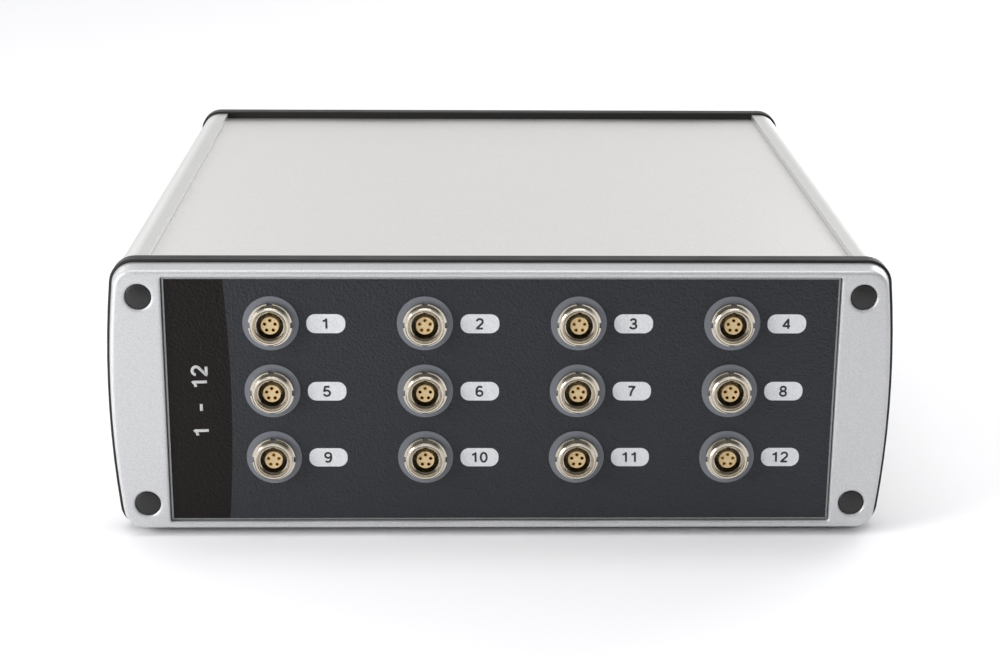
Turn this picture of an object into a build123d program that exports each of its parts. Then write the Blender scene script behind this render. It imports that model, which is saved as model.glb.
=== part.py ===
"""Twelve-channel bench potentiostat in an aluminium profile case.

Two curved side profiles carry a sunk top and bottom plate. A black seal and a tapered
die-cast bezel close each end, held by screws that run into the profiles' channels and
are hidden by push-in caps. The front panel carries twelve round receptacles on grey
insulating washers. Their contacts end on an upright board, which three channel boards
and a backplane join to the ports on the rear panel.

The front faces -Y, the right side is +X and up is +Z. The origin is on the table, under
the middle of the instrument.
"""

from build123d import *
import math
import os

# Case outline, shared by the side profiles, the seals and the bezels
case_half_width = 129.8  # at mid height, where the sides bulge most
case_height = 92.4
case_depth = 267.0  # over the two bezel faces
side_bulge = 3.1
corner_radius = 7.4
ground_gap = 1.8  # table to the underside of the side profiles

# Bezels and seals
bezel_depth = 6.0
bezel_taper = 1.4  # how far the outline draws in from the seal to the face
bezel_edge_radius = 1.0
bezel_width = (18.8, 3.4)  # case outline to the panel opening, at the sides and the top
opening_corner_radius = 0.8
ledge_width = (11.0, 3.3)  # how far the ledge stands into the opening behind the panel
window_corner_radius = 3.0
seal_depth = 6.0
seal_proud = 0.9
seal_edge_radius = 0.7
seal_width = (19.8, 7.7)  # case outline to the seal's window, at the sides and the top
seal_side_width = (8.3, 19.2)  # case outline to the wider, lower window between the screws
seal_hole_clearance = 0.3

# Side profiles and cover plates
profile_wall = 2.0
lip_width = 13.0  # case outline to the edge of the lip over each plate
plate_groove_depth = 2.6
plate_groove_rib = 1.6
cover_thickness = 2.0
cover_clearance = 0.1
web_thickness = 1.6
web_inset = 16.8  # case outline to the web's inner face
channel_wall = 1.7
channel_slot = 2.0
guide_rib_length = 2.6
guide_rib_thickness = 1.2
board_slot_clearance = 0.1
foot_radius = 8.0
foot_edge_radius = 1.0
foot_inset = (24.0, 24.0)  # from the lip and from the end of the plate to a foot's centre

# Case screws and their caps
screw_inset = (11.5, 10.1)  # case outline to a screw's centre
screw_radius = 2.4
screw_head_radius = 4.0
screw_head_height = 2.6
screw_socket_radius = 1.5
screw_socket_depth = 1.6
screw_clearance = 0.3
channel_clearance = 0.05
screw_length = 24.0  # under the head
cap_radius = 4.2
cap_thickness = 1.5
cap_clearance = 0.15
cap_sunk = 0.15
cap_edge_radius = 0.5
cap_peg_radius = 1.2
cap_peg_length = 1.2
cap_hole_chamfer = 0.3

# Panels
panel_thickness = 2.0
panel_gap = 0.4
panel_sunk = 1.4  # bezel face to the metal of either panel
foil_thickness = 0.2
foil_margin = 0.6
panel_screw_inset = (6.0, 12.8)  # edge of the panel opening to a screw's centre
panel_screw_radius = 1.5
panel_screw_head_radius = 2.8
panel_screw_length = 5.0
panel_screw_clearance = 0.1
head_float = 0.05  # screw heads lie this far off their seats

# Receptacles
receptacle_spacing = (50.4, 23.36)
receptacle_columns = 4
receptacle_rows = 3
receptacle_rise = 3.58  # middle row above mid height
barrel_radius = 6.0
barrel_length = 13.0
flange_radius = 7.2
flange_thickness = 2.2
notch_width = 1.9
notch_floor_radius = 6.6
nose_radius = 6.4
nose_length = 4.5  # washer face to the tip
nose_edge = 0.35
rim_width = 0.45
dish_depth = 0.8
inner_rim_radius = 5.1
mouth_radius = 4.7
mouth_depth = 1.3
socket_radius = 4.45
key_width = 1.3
key_depth = 0.45
insert_radius = 2.93
insert_sunk = 1.9  # tip of the nose to the insert's face
insert_base_length = 6.0
insert_clearance = 0.05
contact_count = 5
contact_circle = 1.8
contact_hole_radius = 0.5
contact_radius = 0.42
contact_sunk = 1.0
tail_radius = 0.3
tail_length = 3.2
washer_radius = 9.2
washer_thickness = 0.3
washer_shoulder = 1.0
washer_fit = 0.1
rear_washer_thickness = 1.0
nut_across_flats = 16.0
nut_thickness = 2.5
thread_clearance = 0.05

# Boards inside
board_thickness = 1.6
board_drop = 9.0  # row of receptacles to the board's top face
board_side_clearance = 0.2
front_board_margin = (12.4, 4.1)  # to the guide ribs and to the plates
channel_board_length = 150.0
header_size = (60.0, 8.0, 7.0)  # width, depth, height
shield_size = (38.0, 74.0, 6.5)
shield_wall = 0.5
shield_setback = 28.0
backplane_margin = (25.4, 5.1)  # to the guide ribs and to the plates
backplane_gap = 1.0  # backplane to the interface board
port_set_in = 1.6
interface_tail_margin = 5.0  # to each side of the rear ledge's window

# Rear panel: the switch and the earth socket are placed from the sides of the ledge's
# window, the inlet and the auxiliary port from them, and the other ports from the middle
switch_inset = 15.0
switch_flange = (15.4, 21.4, 1.8)
switch_flange_radius = 1.5
switch_body = (13.4, 19.4, 14.0)
switch_cavity = (11.2, 18.2, 9.0)
switch_body_clearance = 0.15
rocker_size = (10.6, 16.4)
rocker_crest = 3.4  # panel face to the rocker's raised ends, at its middle setting
rocker_dip = 1.7
rocker_root = (7.0, 5.0)
rocker_edge_radius = 0.6
rocker_tilt = 8.0
pivot_depth = 0.6
pivot_radius = 1.2
pivot_pin_length = 0.7
pivot_clearance = 0.06
blade_size = (4.8, 0.8, 7.0)
blade_spacing = 7.0
inlet_spacing = 27.0  # middle of the switch to the middle of the inlet
inlet_flange_radius = 7.0
inlet_flange_thickness = 2.0
inlet_barrel_radius = 5.5
inlet_barrel_length = 15.0
inlet_bore_radius = 3.15
inlet_bore_depth = 11.0
inlet_pin_radius = 1.0
inlet_pin_sunk = 1.5
inlet_nut_thickness = 2.0
inlet_nut_across_flats = 14.0
port_clearance = 0.3
port_proud = 1.0  # the shells of the ports stand out of the panel by this much
lan_place = 22.0
lan_shell = (16.0, 13.5, 21.0)
lan_cavity = (11.8, 8.2, 12.5)
lan_cavity_rise = 0.6
lan_latch = (6.2, 2.2)
usb_place = -6.0
usb_shell = (12.0, 10.9, 16.5)
usb_cavity = (8.5, 7.8, 9.5)
usb_chamfer = 1.6
usb_tongue = (5.6, 3.2)
usb_tongue_sunk = 1.4
aux_spacing = 38.0  # middle of the earth socket to the middle of the port
aux_flange = (39.2, 12.6, 1.2)
aux_shell = (25.0, 8.4)
aux_shell_lean = 1.4
aux_shell_length = 5.6
aux_shell_radius = 1.6
aux_body = (24.0, 10.4, 11.0)
aux_hole_radius = 0.55
aux_hole_depth = 3.0
aux_hole_pitch = (2.76, 2.84)
jackscrew_spacing = 33.3
jackscrew_across_flats = 4.8
jackscrew_length = 4.0
jackscrew_shank_radius = 1.6
jackscrew_bore_radius = 1.42
earth_inset = 14.0
earth_collar_radius = 5.5
earth_barrel_radius = 4.0
earth_barrel_length = 14.0
earth_bore_radius = 2.05
earth_bore_depth = 12.0
earth_nut_across_flats = 11.0
earth_nut_thickness = 3.0
lead_radius = 0.9

# Places that follow from the sizes
case_width = 2 * case_half_width
mid_height = ground_gap + case_height / 2
front_face = -case_depth / 2
bezel_back = front_face + bezel_depth
seal_back = bezel_back + seal_depth
front_panel_face = front_face + panel_sunk
panel_back = front_panel_face + panel_thickness
foil_face = front_panel_face - foil_thickness
washer_face = foil_face - washer_thickness
stand_out = front_face - (washer_face - nose_length)  # receptacles and earth socket
panel_opening = (case_width - 2 * bezel_width[0], case_height - 2 * bezel_width[1])
ledge_window = (panel_opening[0] - 2 * ledge_width[0], panel_opening[1] - 2 * ledge_width[1])
seal_window = (case_width - 2 * seal_width[0], case_height - 2 * seal_width[1])
seal_side_window = (case_width - 2 * seal_side_width[0], case_height - 2 * seal_side_width[1])
screw_spacing = (case_width - 2 * screw_inset[0], case_height - 2 * screw_inset[1])
panel_screw_spacing = (
    panel_opening[0] - 2 * panel_screw_inset[0],
    panel_opening[1] - 2 * panel_screw_inset[1],
)
lip_position = case_half_width - lip_width
web_position = case_half_width - web_inset
panel_size = (panel_opening[0] - 2 * panel_gap, panel_opening[1] - 2 * panel_gap)
panel_hole_radius = barrel_radius + 2 * thread_clearance + 2 * washer_fit + 0.7
case_hole_radius = cap_radius + cap_clearance
cap_hole_depth = cap_sunk + cap_thickness + screw_head_height
cover_width = 2 * (lip_position + plate_groove_depth - board_slot_clearance)
groove_height = cover_thickness + 2 * cover_clearance
groove_top = case_height / 2 - profile_wall
cover_middle = groove_top - groove_height / 2
rib_middle = groove_top - groove_height - plate_groove_rib / 2
guide_gap = board_thickness + 2 * board_slot_clearance
channel_radius = screw_radius + channel_clearance
body_length = -2 * seal_back
row_heights = [
    receptacle_rise + receptacle_spacing[1] * (1 - row) for row in range(receptacle_rows)
]
board_tops = [height - board_drop for height in row_heights]
tail_end = washer_face + barrel_length + tail_length
front_board_face = tail_end
channel_board_front = front_board_face + board_thickness
backplane_front = channel_board_front + channel_board_length
interface_front = backplane_front + board_thickness + backplane_gap
rear_panel_face = -front_panel_face
rear_panel_inside = rear_panel_face - panel_thickness
board_width = 2 * (web_position - board_side_clearance)
interface_top = board_tops[-1]
interface_tail_width = ledge_window[0] - 2 * interface_tail_margin
guide_edge = web_position - guide_rib_length
plate_edge = cover_middle - cover_thickness / 2
front_board_size = (
    2 * (guide_edge - front_board_margin[0]),
    2 * (plate_edge - front_board_margin[1]),
)
backplane_size = (
    2 * (guide_edge - backplane_margin[0]),
    2 * (plate_edge - backplane_margin[1]),
)
switch_place = (ledge_window[0] / 2 - switch_inset, 0.0)
inlet_place = (switch_place[0] - inlet_spacing, 0.0)
earth_place = (earth_inset - ledge_window[0] / 2, 0.0)
aux_place = earth_place[0] + aux_spacing


def facing_front(y, x=0.0, z=0.0):
    """Upright plane at depth y, seen from the front, with z counted from mid height."""
    return Plane(origin=(x, y, mid_height + z), x_dir=(1, 0, 0), z_dir=(0, -1, 0))


def facing_back(y, x=0.0, z=0.0):
    """Upright plane at depth y whose normal points to the rear."""
    return Plane(origin=(x, y, mid_height + z), x_dir=(-1, 0, 0), z_dir=(0, 1, 0))


def turning_plane(y, x, z):
    """Plane through a receptacle's axis: its first axis points forwards, its second up."""
    return Plane(origin=(x, y, mid_height + z), x_dir=(0, -1, 0), z_dir=(-1, 0, 0))


def save(piece, label):
    piece.part.label = label
    export_step(piece.part, f"parts/{label}.step")


def case_outline(grow):
    """The case's end view: flat top and bottom, bulging sides, rounded corners."""
    half_height = case_height / 2 + grow
    half_width = case_half_width - side_bulge + grow
    with BuildSketch(mode=Mode.PRIVATE) as outline:
        with BuildLine():
            Line((-half_width, half_height), (half_width, half_height))
            ThreePointArc(
                (half_width, half_height),
                (half_width + side_bulge, 0),
                (half_width, -half_height),
            )
            Line((half_width, -half_height), (-half_width, -half_height))
            ThreePointArc(
                (-half_width, -half_height),
                (-half_width - side_bulge, 0),
                (-half_width, half_height),
            )
        make_face()
        fillet(outline.vertices(), radius=corner_radius + grow)
    return outline.sketch


os.makedirs("parts", exist_ok=True)

# Bezel: a die-cast frame that tapers to the front, with a rebate for the panel, a ledge
# behind it and a deep seat for each case screw
with BuildPart() as front_bezel:
    with BuildSketch(facing_front(bezel_back)):
        add(case_outline(0))
    with BuildSketch(facing_front(front_face)):
        add(case_outline(-bezel_taper))
    loft()
    face_edge = front_bezel.faces().sort_by(Axis.Y)[0].edges()
    fillet(face_edge, radius=bezel_edge_radius)
    with BuildSketch(facing_front(front_face)):
        RectangleRounded(*panel_opening, opening_corner_radius)
    extrude(amount=-(panel_sunk + panel_thickness), mode=Mode.SUBTRACT)
    with BuildSketch(facing_front(front_face)):
        RectangleRounded(*ledge_window, window_corner_radius)
    extrude(amount=-bezel_depth, mode=Mode.SUBTRACT)
    with Locations(facing_front(front_face)):
        with GridLocations(*screw_spacing, 2, 2):
            CounterBoreHole(
                radius=screw_radius + screw_clearance,
                counter_bore_radius=case_hole_radius,
                counter_bore_depth=cap_hole_depth,
            )
    with Locations(facing_front(panel_back)):
        with GridLocations(*panel_screw_spacing, 2, 2):
            Hole(radius=panel_screw_radius + panel_screw_clearance)
    hole_mouths = (
        front_bezel.edges()
        .filter_by(GeomType.CIRCLE)
        .group_by(Axis.Y)[0]
        .filter_by(lambda edge: abs(edge.radius - case_hole_radius) < cap_clearance)
    )
    chamfer(hole_mouths, length=cap_hole_chamfer)

with BuildPart() as rear_bezel:
    mirror(front_bezel.part, about=Plane.XZ)

save(front_bezel, "front_bezel")
save(rear_bezel, "rear_bezel")

# Seal: a black frame between bezel and body, a little proud of both
with BuildPart() as front_seal:
    with BuildSketch(facing_front(bezel_back)):
        add(case_outline(seal_proud))
    extrude(amount=-seal_depth)
    rims = front_seal.faces().filter_by(Axis.Y).edges()
    fillet(rims, radius=seal_edge_radius)
    with BuildSketch(facing_front(bezel_back)):
        RectangleRounded(*seal_window, window_corner_radius)
        RectangleRounded(*seal_side_window, window_corner_radius)
    extrude(amount=-seal_depth, mode=Mode.SUBTRACT)
    with Locations(facing_front(bezel_back)):
        with GridLocations(*screw_spacing, 2, 2):
            Hole(radius=screw_radius + seal_hole_clearance)

with BuildPart() as rear_seal:
    mirror(front_seal.part, about=Plane.XZ)

save(front_seal, "front_seal")
save(rear_seal, "rear_seal")

# Side profile: extruded curved wall and inner web, with a groove for each plate, an open
# channel for each case screw and a pair of guide ribs for each row of boards
wall_room = case_half_width - web_position
with BuildPart() as right_profile:
    with BuildSketch(facing_front(seal_back)) as section:
        add(case_outline(0))
        with Locations((lip_position, 0)):
            Rectangle(
                2 * wall_room, case_height, align=(Align.MIN, Align.CENTER), mode=Mode.INTERSECT
            )
        add(case_outline(-profile_wall), mode=Mode.SUBTRACT)
        with BuildSketch(mode=Mode.PRIVATE) as inner_parts:
            with Locations((web_position, 0)):
                Rectangle(web_thickness, 2 * rib_middle, align=(Align.MIN, Align.CENTER))
            for side in (1, -1):
                with Locations((web_position, side * rib_middle)):
                    Rectangle(wall_room, plate_groove_rib, align=(Align.MIN, Align.CENTER))
                with Locations((lip_position + plate_groove_depth, side * cover_middle)):
                    Rectangle(
                        profile_wall,
                        groove_height + profile_wall,
                        align=(Align.MIN, Align.CENTER),
                    )
                with Locations((screw_spacing[0] / 2, side * screw_spacing[1] / 2)):
                    Circle(channel_radius + channel_wall)
            for top in board_tops:
                for edge in (top + board_slot_clearance, top - board_thickness):
                    lift = 0 if edge > top else -board_slot_clearance - guide_rib_thickness
                    with Locations((web_position, edge + lift)):
                        Rectangle(guide_rib_length, guide_rib_thickness, align=(Align.MAX, Align.MIN))
            add(case_outline(-profile_wall / 2), mode=Mode.INTERSECT)
        add(inner_parts.sketch)
        for side in (1, -1):
            with Locations((screw_spacing[0] / 2, side * screw_spacing[1] / 2)):
                Circle(channel_radius, mode=Mode.SUBTRACT)
                Rectangle(
                    channel_slot,
                    channel_radius + channel_wall + profile_wall,
                    align=(Align.CENTER, Align.MAX if side > 0 else Align.MIN),
                    mode=Mode.SUBTRACT,
                )
    extrude(amount=-body_length)

with BuildPart() as left_profile:
    mirror(right_profile.part, about=Plane.YZ)

save(right_profile, "right_side_profile")
save(left_profile, "left_side_profile")

# Cover plates, slid into the grooves, with a rubber foot near each corner of the lower one
for label, side in (("top_cover", 1), ("bottom_cover", -1)):
    with BuildPart() as cover:
        with BuildSketch(facing_front(seal_back, z=side * cover_middle)):
            Rectangle(cover_width, cover_thickness)
        extrude(amount=-body_length)
    save(cover, label)

foot_top = mid_height - cover_middle - cover_thickness / 2
with BuildPart() as rubber_feet:
    with BuildSketch(Plane.XY):
        with GridLocations(
            2 * (lip_position - foot_inset[0]), body_length - 2 * foot_inset[1], 2, 2
        ):
            Circle(foot_radius)
    extrude(amount=foot_top)
    fillet(rubber_feet.edges().group_by(Axis.Z)[0], radius=foot_edge_radius)
save(rubber_feet, "rubber_feet")

# Case screws with a hexagon socket, and the caps whose peg enters that socket
head_front = front_face + cap_sunk + cap_thickness
with BuildPart() as case_screws:
    with BuildSketch(facing_front(head_front)):
        with GridLocations(*screw_spacing, 2, 2):
            Circle(screw_head_radius)
    extrude(amount=-screw_head_height + head_float)
    with BuildSketch(facing_front(head_front)):
        with GridLocations(*screw_spacing, 2, 2):
            Circle(screw_radius)
    extrude(amount=-(screw_head_height + screw_length))
    with BuildSketch(facing_front(head_front)):
        with GridLocations(*screw_spacing, 2, 2):
            RegularPolygon(screw_socket_radius, 6, major_radius=False)
    extrude(amount=-screw_socket_depth, mode=Mode.SUBTRACT)
    mirror(about=Plane.XZ)
save(case_screws, "case_screws")

with BuildPart() as screw_caps:
    with BuildSketch(facing_front(front_face + cap_sunk)):
        with GridLocations(*screw_spacing, 2, 2):
            Circle(cap_radius)
    extrude(amount=-cap_thickness)
    fillet(screw_caps.edges().group_by(Axis.Y)[0], radius=cap_edge_radius)
    with BuildSketch(facing_front(head_front)):
        with GridLocations(*screw_spacing, 2, 2):
            Circle(cap_peg_radius)
    extrude(amount=-cap_peg_length)
    mirror(about=Plane.XZ)
save(screw_caps, "screw_caps")


def receptacle_grid():
    """Places of the receptacles on a plane that faces the front."""
    return [
        (receptacle_spacing[0] * (column - (receptacle_columns - 1) / 2), height)
        for height in row_heights
        for column in range(receptacle_columns)
    ]


# Front panel and its printed foil, which leaves a bare metal margin
with BuildPart() as front_panel:
    with BuildSketch(facing_front(front_panel_face)):
        Rectangle(*panel_size)
        with Locations(*receptacle_grid()):
            Circle(panel_hole_radius, mode=Mode.SUBTRACT)
    extrude(amount=-panel_thickness)
    with Locations(facing_front(front_panel_face)):
        with GridLocations(*panel_screw_spacing, 2, 2):
            CounterSinkHole(
                radius=panel_screw_radius + panel_screw_clearance,
                counter_sink_radius=panel_screw_head_radius + panel_screw_clearance,
            )
save(front_panel, "front_panel")

with BuildPart() as front_foil:
    with BuildSketch(facing_front(foil_face)):
        Rectangle(panel_size[0] - 2 * foil_margin, panel_size[1] - 2 * foil_margin)
        with Locations(*receptacle_grid()):
            Circle(panel_hole_radius, mode=Mode.SUBTRACT)
    extrude(amount=-foil_thickness)
save(front_foil, "front_foil")

# Countersunk screws through each panel into its ledge
with BuildPart() as panel_screws:
    with Locations(facing_front(front_panel_face + head_float)):
        with GridLocations(*panel_screw_spacing, 2, 2):
            Cone(
                panel_screw_radius,
                panel_screw_head_radius,
                panel_screw_head_radius - panel_screw_radius,
                align=(Align.CENTER, Align.CENTER, Align.MAX),
            )
            Cylinder(
                panel_screw_radius,
                panel_screw_length,
                align=(Align.CENTER, Align.CENTER, Align.MAX),
            )
            Box(
                2 * panel_screw_radius,
                panel_screw_radius / 3,
                panel_screw_radius / 2,
                align=(Align.CENTER, Align.CENTER, Align.MAX),
                mode=Mode.SUBTRACT,
            )
    mirror(about=Plane.XZ)
save(panel_screws, "panel_screws")

# Receptacle: a turned nickel-plated shell with a notched flange and a dished nose, and
# a plastic insert that stands in its bore and holds the contacts
insert_face = nose_length - insert_sunk
for number, (x, height) in enumerate(receptacle_grid(), start=1):
    place = turning_plane(washer_face, x, height)
    axis = Axis(place.origin, (0, -1, 0))
    with BuildPart() as shell:
        with BuildSketch(place):
            with BuildLine():
                Polyline(
                    (-barrel_length, barrel_radius),
                    (0, barrel_radius),
                    (0, flange_radius),
                    (flange_thickness, flange_radius),
                    (flange_thickness, nose_radius),
                    (nose_length - nose_edge, nose_radius),
                    (nose_length, nose_radius - nose_edge),
                    (nose_length, nose_radius - nose_edge - rim_width),
                    (nose_length - dish_depth, inner_rim_radius),
                    (nose_length - dish_depth / 2, mouth_radius),
                    (nose_length - dish_depth / 2 - mouth_depth, mouth_radius),
                    (nose_length - dish_depth / 2 - mouth_depth, socket_radius),
                    (-barrel_length, socket_radius),
                    close=True,
                )
            make_face()
        revolve(axis=axis)
        with BuildSketch(facing_front(washer_face, x, height)):
            with PolarLocations(notch_floor_radius, 4, start_angle=90):
                Rectangle(barrel_radius, notch_width, align=(Align.MIN, Align.CENTER))
        extrude(amount=flange_thickness, mode=Mode.SUBTRACT)
        with BuildSketch(facing_front(washer_face - nose_length, x, height)):
            with Locations((0, socket_radius + key_depth)):
                Rectangle(key_width, barrel_radius / 2, align=(Align.CENTER, Align.MAX))
        extrude(amount=-nose_length, mode=Mode.SUBTRACT)
    save(shell, f"receptacle_shell_{number:02d}")

    with BuildPart() as insert:
        with BuildSketch(place):
            with BuildLine():
                Polyline(
                    (-barrel_length, 0),
                    (insert_face, 0),
                    (insert_face, insert_radius),
                    (insert_base_length - barrel_length, insert_radius),
                    (insert_base_length - barrel_length, socket_radius - insert_clearance),
                    (-barrel_length, socket_radius - insert_clearance),
                    close=True,
                )
            make_face()
        revolve(axis=axis)
        with BuildSketch(facing_front(washer_face - insert_face, x, height)):
            with PolarLocations(contact_circle, contact_count, start_angle=90):
                Circle(contact_hole_radius)
        extrude(amount=-(insert_face + barrel_length), mode=Mode.SUBTRACT)
    save(insert, f"receptacle_insert_{number:02d}")

# Contacts: a gold socket in each hole of an insert, with a thin tail to the front board
with BuildPart() as contacts:
    contact_face = washer_face - insert_face + contact_sunk
    for x, height in receptacle_grid():
        with BuildSketch(facing_front(contact_face, x, height)):
            with PolarLocations(contact_circle, contact_count, start_angle=90):
                Circle(contact_radius)
        extrude(amount=-(insert_face - contact_sunk + barrel_length))
        with BuildSketch(facing_front(washer_face + barrel_length, x, height)):
            with PolarLocations(contact_circle, contact_count, start_angle=90):
                Circle(tail_radius)
        extrude(amount=-tail_length)
save(contacts, "receptacle_contacts")

# Insulating washers: a shouldered one in front of the panel, a flat one behind it
washer_bore = barrel_radius + thread_clearance
with BuildPart() as washers:
    with BuildSketch(facing_front(washer_face)):
        with Locations(*receptacle_grid()):
            Circle(washer_radius)
    extrude(amount=-washer_thickness)
    with BuildSketch(facing_front(foil_face)):
        with Locations(*receptacle_grid()):
            Circle(panel_hole_radius - washer_fit)
    extrude(amount=-washer_shoulder)
    with BuildSketch(facing_front(panel_back)):
        with Locations(*receptacle_grid()):
            Circle(washer_radius)
    extrude(amount=-rear_washer_thickness)
    with BuildSketch(facing_front(washer_face)):
        with Locations(*receptacle_grid()):
            Circle(washer_bore)
    extrude(amount=-barrel_length, mode=Mode.SUBTRACT)
save(washers, "insulating_washers")

with BuildPart() as nuts:
    with BuildSketch(facing_front(panel_back + rear_washer_thickness)):
        with Locations(*receptacle_grid()):
            RegularPolygon(nut_across_flats / 2, 6, major_radius=False)
            Circle(washer_bore, mode=Mode.SUBTRACT)
    extrude(amount=-nut_thickness)
save(nuts, "receptacle_nuts")

# Boards: an upright one behind the receptacles, a channel board in the guides for each
# row, an upright backplane, and the interface board that carries the ports
with BuildPart() as front_board:
    with BuildSketch(facing_front(front_board_face)):
        Rectangle(*front_board_size)
    extrude(amount=-board_thickness)
save(front_board, "front_board")

header_width, header_depth, header_height = header_size
for number, top in enumerate(board_tops, start=1):
    level = Plane.XY.offset(mid_height + top)
    board_middle = channel_board_front + channel_board_length / 2
    with BuildPart() as channel_board:
        with BuildSketch(level):
            with Locations((0, board_middle)):
                Rectangle(board_width, channel_board_length)
        extrude(amount=-board_thickness)
    save(channel_board, f"channel_board_{number}")

    with BuildPart() as shields:
        can_y = channel_board_front + shield_setback
        with BuildSketch(level):
            with Locations((0, can_y)):
                with GridLocations(receptacle_spacing[0], 0, receptacle_columns, 1):
                    Rectangle(*shield_size[:2], align=(Align.CENTER, Align.MIN))
        extrude(amount=shield_size[2])
        fillet(shields.edges().filter_by(Axis.Z), radius=2 * shield_wall)
        with BuildSketch(level):
            with Locations((0, can_y + shield_wall)):
                with GridLocations(receptacle_spacing[0], 0, receptacle_columns, 1):
                    Rectangle(
                        shield_size[0] - 2 * shield_wall,
                        shield_size[1] - 2 * shield_wall,
                        align=(Align.CENTER, Align.MIN),
                    )
        extrude(amount=shield_size[2] - shield_wall, mode=Mode.SUBTRACT)
    save(shields, f"shield_cans_{number}")

with BuildPart() as headers:
    for top in board_tops:
        with BuildSketch(Plane.XY.offset(mid_height + top)):
            for end, side in ((channel_board_front, Align.MIN), (backplane_front, Align.MAX)):
                with Locations((0, end)):
                    Rectangle(header_width, header_depth, align=(Align.CENTER, side))
        extrude(amount=header_height)
save(headers, "board_headers")

with BuildPart() as backplane:
    with BuildSketch(facing_front(backplane_front)):
        Rectangle(*backplane_size)
    extrude(amount=-board_thickness)
save(backplane, "backplane")

interface_back = rear_panel_inside - port_set_in
with BuildPart() as interface_board:
    with BuildSketch(Plane.XY.offset(mid_height + interface_top)):
        for width, end in (
            (board_width, -seal_back - board_side_clearance),
            (interface_tail_width, interface_back),
        ):
            with Locations((0, interface_front)):
                Rectangle(width, end - interface_front, align=(Align.CENTER, Align.MIN))
    extrude(amount=-board_thickness)
save(interface_board, "interface_board")

# Rear panel with a cut-out for each fitting
lan_height = interface_top + lan_shell[1] / 2
usb_height = interface_top + usb_shell[1] / 2
aux_height = interface_top + aux_body[1] / 2
port_face = rear_panel_face + port_proud
with BuildPart() as rear_panel:
    with BuildSketch(facing_front(rear_panel_face)):
        Rectangle(*panel_size)
        with Locations(switch_place):
            Rectangle(
                switch_body[0] + 2 * switch_body_clearance,
                switch_body[1] + 2 * switch_body_clearance,
                mode=Mode.SUBTRACT,
            )
        with Locations(inlet_place):
            Circle(inlet_barrel_radius + thread_clearance, mode=Mode.SUBTRACT)
        with Locations(earth_place):
            Circle(earth_barrel_radius + thread_clearance, mode=Mode.SUBTRACT)
        for place, height, shell in (
            (lan_place, lan_height, lan_shell),
            (usb_place, usb_height, usb_shell),
            (aux_place, aux_height, aux_shell),
        ):
            with Locations((place, height)):
                Rectangle(
                    shell[0] + 2 * port_clearance, shell[1] + 2 * port_clearance, mode=Mode.SUBTRACT
                )
        with Locations((aux_place, aux_height)):
            with GridLocations(jackscrew_spacing, 0, 2, 1):
                Circle(jackscrew_shank_radius, mode=Mode.SUBTRACT)
    extrude(amount=panel_thickness)
    with Locations(facing_back(rear_panel_face)):
        with GridLocations(*panel_screw_spacing, 2, 2):
            CounterSinkHole(
                radius=panel_screw_radius + panel_screw_clearance,
                counter_sink_radius=panel_screw_head_radius + panel_screw_clearance,
            )
save(rear_panel, "rear_panel")

# Power switch: a snap-in housing with an open front, and the rocker on its pins
switch_x, switch_z = switch_place
pivot_y = rear_panel_face - pivot_depth
with BuildPart() as switch_housing:
    with BuildSketch(facing_back(rear_panel_face, switch_x, switch_z)):
        RectangleRounded(*switch_flange[:2], switch_flange_radius)
    extrude(amount=switch_flange[2])
    chamfer(switch_housing.faces().sort_by(Axis.Y)[-1].edges(), length=switch_flange_radius / 3)
    with BuildSketch(facing_back(rear_panel_face, switch_x, switch_z)):
        Rectangle(*switch_body[:2])
    extrude(amount=-switch_body[2])
    with BuildSketch(facing_back(rear_panel_face + switch_flange[2], switch_x, switch_z)):
        Rectangle(*switch_cavity[:2])
    extrude(amount=-(switch_flange[2] + switch_cavity[2]), mode=Mode.SUBTRACT)
    with Locations(Plane(origin=(switch_x, pivot_y, mid_height + switch_z), z_dir=(1, 0, 0))):
        Cylinder(
            pivot_radius + pivot_clearance,
            rocker_size[0] + 2 * (pivot_pin_length + pivot_clearance),
            mode=Mode.SUBTRACT,
        )
    with BuildSketch(facing_back(rear_panel_face - switch_body[2], switch_x, switch_z)):
        with GridLocations(0, blade_spacing, 1, 2):
            Rectangle(*blade_size[:2])
    extrude(amount=-blade_size[2])
save(switch_housing, "power_switch_housing")

rest_tilt = Rot(rocker_tilt, 0, 0)
rocker_plane = Plane(
    origin=(switch_x, pivot_y, mid_height + switch_z), x_dir=(0, 1, 0), z_dir=(1, 0, 0)
)
with BuildPart() as rocker:
    crest = pivot_depth + rocker_crest
    with BuildSketch(rocker_plane):
        with BuildLine():
            half_crest = rocker_size[1] / 2 - rocker_edge_radius
            ThreePointArc((crest, half_crest), (crest - rocker_dip, 0), (crest, -half_crest))
            Polyline(
                (crest, -half_crest),
                (pivot_depth, -rocker_size[1] / 2),
                (-rocker_root[1], -rocker_root[0] / 2),
                (-rocker_root[1], rocker_root[0] / 2),
                (pivot_depth, rocker_size[1] / 2),
                (crest, half_crest),
            )
        make_face()
    extrude(amount=rocker_size[0] / 2, both=True)
    fillet(rocker.edges().filter_by(Axis.X).group_by(Axis.Y)[-1], radius=rocker_edge_radius)
    with Locations(rocker_plane):
        Cylinder(pivot_radius, rocker_size[0] + 2 * pivot_pin_length)
pivot_axis = Axis((switch_x, pivot_y, mid_height + switch_z), (1, 0, 0))
with BuildPart() as power_rocker:
    add(rocker.part.rotate(pivot_axis, rocker_tilt))
save(power_rocker, "power_rocker")

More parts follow.
